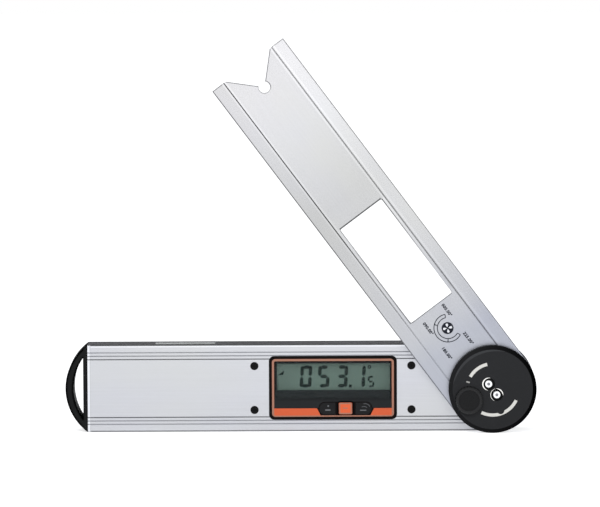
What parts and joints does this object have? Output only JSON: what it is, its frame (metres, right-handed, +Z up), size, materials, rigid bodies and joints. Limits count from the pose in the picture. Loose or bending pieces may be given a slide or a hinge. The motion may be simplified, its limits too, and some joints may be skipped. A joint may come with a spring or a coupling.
{
  "type": "digital angle finder",
  "caption": "Digital angle finder: a hollow aluminium arm with display, keys and level vial, and a windowed blade with a V-notch that swings on a locking hub.",
  "frame": {"origin": "middle of the body's base edge, on its flat", "axes": "+Z up from the base edge, +X from the hanging loop towards the pivot, the display faces -Y"},
  "size_m": [0.2748, 0.0358, 0.23],
  "materials": {
    "body_aluminium": "fine brushed, clear anodised",
    "plate_aluminium": "brushed",
    "blade_aluminium": "brushed along the blade, clear anodised",
    "black_cap": "fine texture",
    "hub_black": "satin",
    "knob_black": "satin",
    "bezel_black": "gloss",
    "orange_trim": "satin",
    "window_clear": "clear polished, dark printed band",
    "lcd_glass": "grey-green liquid crystal",
    "white_diffuser": "satin",
    "elastomer": "striped",
    "inner_plastic": "moulded",
    "key_black": "satin",
    "key_orange": "satin",
    "black_steel": "black oxide",
    "bright_steel": "bright plated",
    "turned_steel": "turned",
    "bush_brass": "turned bronze",
    "brake_fibre": "pressed fibre",
    "circuit_board": "solder mask",
    "chip_black": "moulded",
    "polyimide": "flat cable",
    "nickel_contact": "nickel plated",
    "vial_acrylic": "polished acrylic",
    "vial_liquid": "tinted spirit"
  },
  "bodies": {
    "body": {"main_body": "body_aluminium", "back_plate": "plate_aluminium", "back_plate_screws": "black_steel", "end_cap": "black_cap", "hub_housing": "inner_plastic", "pivot_bush": "bush_brass", "stator_board": "circuit_board", "stator_screws": "bright_steel", "hub_back_cap": "black_cap", "display_bezel": "bezel_black", "bezel_trim": "orange_trim", "display_window": "window_clear", "lcd_panel": "lcd_glass", "lcd_backlight": "white_diffuser", "lcd_connector_strip": "elastomer", "display_chassis": "inner_plastic", "display_screws": "black_steel", "main_board": "circuit_board", "board_components": "chip_black", "board_screws": "bright_steel", "tactile_switches": "chip_black", "ribbon_cable": "polyimide", "battery_holder": "inner_plastic", "battery_contacts": "nickel_contact", "coin_cell": "nickel_contact", "vial_block": "vial_acrylic", "vial_fluid": "vial_liquid", "vial_cradle": "inner_plastic"},
    "arm": {"blade": "blade_aluminium", "arm_hub": "inner_plastic", "hub_disc": "hub_black", "hub_screws": "bright_steel", "hub_washers": "black_steel", "pivot_shaft": "turned_steel", "stop_pin": "turned_steel", "thrust_washer": "turned_steel", "disc_spring": "turned_steel", "shaft_nut": "turned_steel", "rotor_disc": "circuit_board", "rotor_screw": "bright_steel"},
    "brake": {"brake_pad": "brake_fibre"},
    "lock": {"lock_stud": "turned_steel", "lock_knob": "knob_black"},
    "zero_key": {"zero_button": "key_black"},
    "hold_key": {"hold_button": "key_orange"},
    "power_key": {"power_button": "key_black"},
    "battery_door": {"battery_cover": "black_cap", "battery_cover_screw": "black_steel"}
  },
  "joints": [
    {"name": "arm_swing", "type": "hinge", "parent": "body", "child": "arm", "pos_m": [0.1181, -0.0105, 0.0256], "axis": [0, 1, 0], "range_deg": [-53.15, 171.85]},
    {"name": "lock_feed", "type": "slide", "parent": "arm", "child": "brake", "axis": [0, 1, 0], "range_m": [0, 0.00025]},
    {"name": "lock_turn", "type": "hinge", "parent": "brake", "child": "lock", "pos_m": [0.10432, -0.0176, 0.01931], "axis": [0, 1, 0], "range_deg": [0, 130]},
    {"name": "zero_press", "type": "slide", "parent": "body", "child": "zero_key", "axis": [0, 1, 0], "range_m": [0, 0.0004], "stiffness_N_per_m": 1500},
    {"name": "hold_press", "type": "slide", "parent": "body", "child": "hold_key", "axis": [0, 1, 0], "range_m": [0, 0.0004], "stiffness_N_per_m": 1500},
    {"name": "power_press", "type": "slide", "parent": "body", "child": "power_key", "axis": [0, 1, 0], "range_m": [0, 0.0004], "stiffness_N_per_m": 1500},
    {"name": "battery_door_lift", "type": "slide", "parent": "body", "child": "battery_door", "axis": [0, 1, 0], "range_m": [0, 0.02]}
  ],
  "couplings": [
    {"joint": "lock_turn", "follows": "lock_feed", "rad_per_m": 8976}
  ]
}
